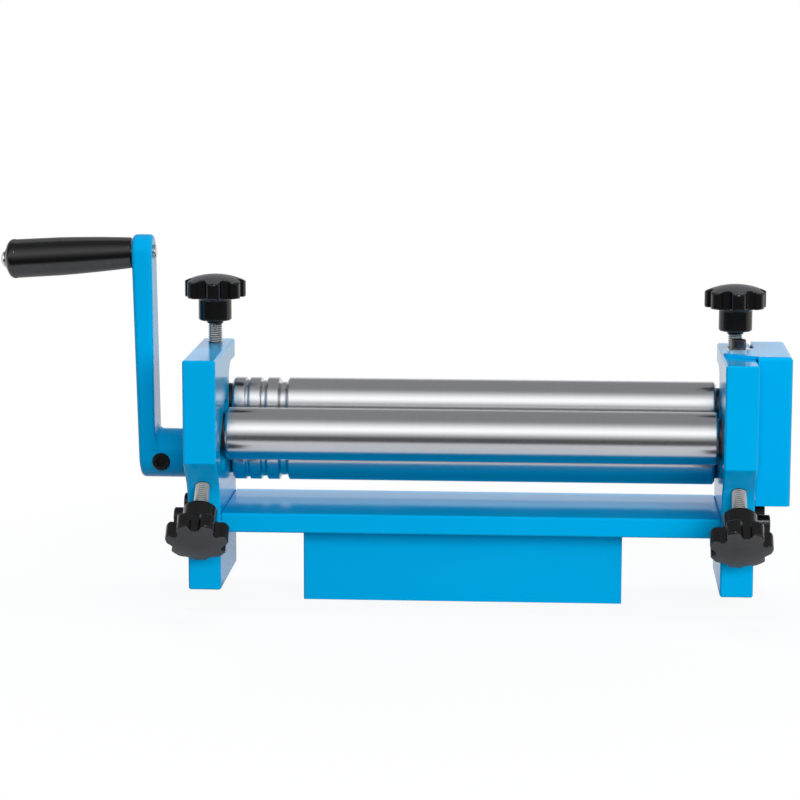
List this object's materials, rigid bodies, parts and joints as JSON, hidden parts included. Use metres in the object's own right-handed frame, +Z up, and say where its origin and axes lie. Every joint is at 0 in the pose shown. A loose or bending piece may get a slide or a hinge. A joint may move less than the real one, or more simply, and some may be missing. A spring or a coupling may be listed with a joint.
{
  "type": "slip roll machine",
  "caption": "Hand-cranked slip roll for sheet metal: pinch rollers and a bending roller between side frames, star adjusting knobs, a crank and a gear cover.",
  "frame": {"origin": "centre of the vise block's flat underside", "axes": "+X along the rollers towards the gear cover, +Y from the bending roller towards the pinch rollers, +Z up"},
  "size_m": [0.5214, 0.1404, 0.2377],
  "materials": {
    "blue_enamel": "gloss",
    "ground_steel": "polished",
    "machined_steel": "satin",
    "bronze": "satin",
    "zinc_plated_steel": "bright",
    "black_steel": "satin",
    "black_plastic": "gloss"
  },
  "bodies": {
    "frame": {"side_frame_left": "blue_enamel", "side_frame_right": "blue_enamel", "tie_bar": "blue_enamel", "vise_block": "blue_enamel", "bar_washers": "black_steel", "bar_screws": "black_steel", "lower_bush_left": "bronze", "lower_bush_right": "bronze", "gear_cover": "blue_enamel", "cover_washer": "zinc_plated_steel", "cover_screw": "zinc_plated_steel"},
    "drive": {"lower_roller": "ground_steel", "lower_gear": "machined_steel", "lower_key": "machined_steel", "lower_spacer": "machined_steel", "lower_clip": "machined_steel", "crank_arm": "blue_enamel", "crank_set_screw": "black_steel", "grip_spindle": "zinc_plated_steel"},
    "grip": {"crank_grip": "black_plastic"},
    "upper_carriage": {"upper_block_left": "machined_steel", "upper_block_right": "machined_steel", "upper_bush_left": "bronze", "upper_bush_right": "bronze"},
    "upper_roll": {"upper_roller": "ground_steel", "upper_gear": "machined_steel", "upper_key": "machined_steel", "upper_spacer": "machined_steel", "upper_clip": "machined_steel"},
    "bend_carriage": {"bend_block_left": "machined_steel", "bend_block_right": "machined_steel", "bend_bush_left": "bronze", "bend_bush_right": "bronze"},
    "bend_roll": {"bending_roller": "ground_steel"},
    "top_knob_left_turning": {"top_knob_left": "black_plastic", "top_screw_left": "zinc_plated_steel"},
    "top_knob_right_turning": {"top_knob_right": "black_plastic", "top_screw_right": "zinc_plated_steel"},
    "front_knob_left_turning": {"front_knob_left": "black_plastic", "front_screw_left": "zinc_plated_steel"},
    "front_knob_right_turning": {"front_knob_right": "black_plastic", "front_screw_right": "zinc_plated_steel"}
  },
  "joints": [
    {"name": "crank_turn", "type": "hinge", "parent": "frame", "child": "drive", "pos_m": [0.0056, 0.0235, 0.0908], "axis": [1, 0, 0], "continuous": true},
    {"name": "grip_spin", "type": "hinge", "parent": "drive", "child": "grip", "pos_m": [-0.2215, 0.0235, 0.2253], "axis": [-0.9982, 0, -0.0593], "continuous": true},
    {"name": "upper_lift", "type": "slide", "parent": "frame", "child": "upper_carriage", "axis": [0, 0, 1], "range_m": [0, 0.003]},
    {"name": "upper_roll", "type": "hinge", "parent": "upper_carriage", "child": "upper_roll", "pos_m": [0.0056, 0.0235, 0.1253], "axis": [1, 0, 0], "continuous": true},
    {"name": "bend_adjust", "type": "slide", "parent": "frame", "child": "bend_carriage", "axis": [0, 0.7071, 0.7071], "range_m": [-0.012, 0.008]},
    {"name": "bend_roll", "type": "hinge", "parent": "bend_carriage", "child": "bend_roll", "pos_m": [0.0056, -0.0175, 0.1115], "axis": [1, 0, 0], "continuous": true},
    {"name": "top_knob_turn_left", "type": "hinge", "parent": "upper_carriage", "child": "top_knob_left_turning", "pos_m": [-0.1667, 0.0235, 0.162], "axis": [0, 0, 1], "range_deg": [0, 720]},
    {"name": "front_knob_turn_left", "type": "hinge", "parent": "bend_carriage", "child": "front_knob_left_turning", "pos_m": [-0.1667, -0.0175, 0.1115], "axis": [0, 0.7071, 0.7071], "range_deg": [-2880, 1920]},
    {"name": "top_knob_turn_right", "type": "hinge", "parent": "upper_carriage", "child": "top_knob_right_turning", "pos_m": [0.1779, 0.0235, 0.162], "axis": [0, 0, 1], "range_deg": [0, 720]},
    {"name": "front_knob_turn_right", "type": "hinge", "parent": "bend_carriage", "child": "front_knob_right_turning", "pos_m": [0.1779, -0.0175, 0.1115], "axis": [0, 0.7071, 0.7071], "range_deg": [-2880, 1920]}
  ],
  "couplings": [
    {"joint": "upper_roll", "follows": "crank_turn", "ratio": -1},
    {"joint": "top_knob_turn_left", "follows": "upper_lift", "rad_per_m": 4188.8},
    {"joint": "front_knob_turn_left", "follows": "bend_adjust", "rad_per_m": 4188.8},
    {"joint": "top_knob_turn_right", "follows": "upper_lift", "rad_per_m": 4188.8},
    {"joint": "front_knob_turn_right", "follows": "bend_adjust", "rad_per_m": 4188.8}
  ]
}
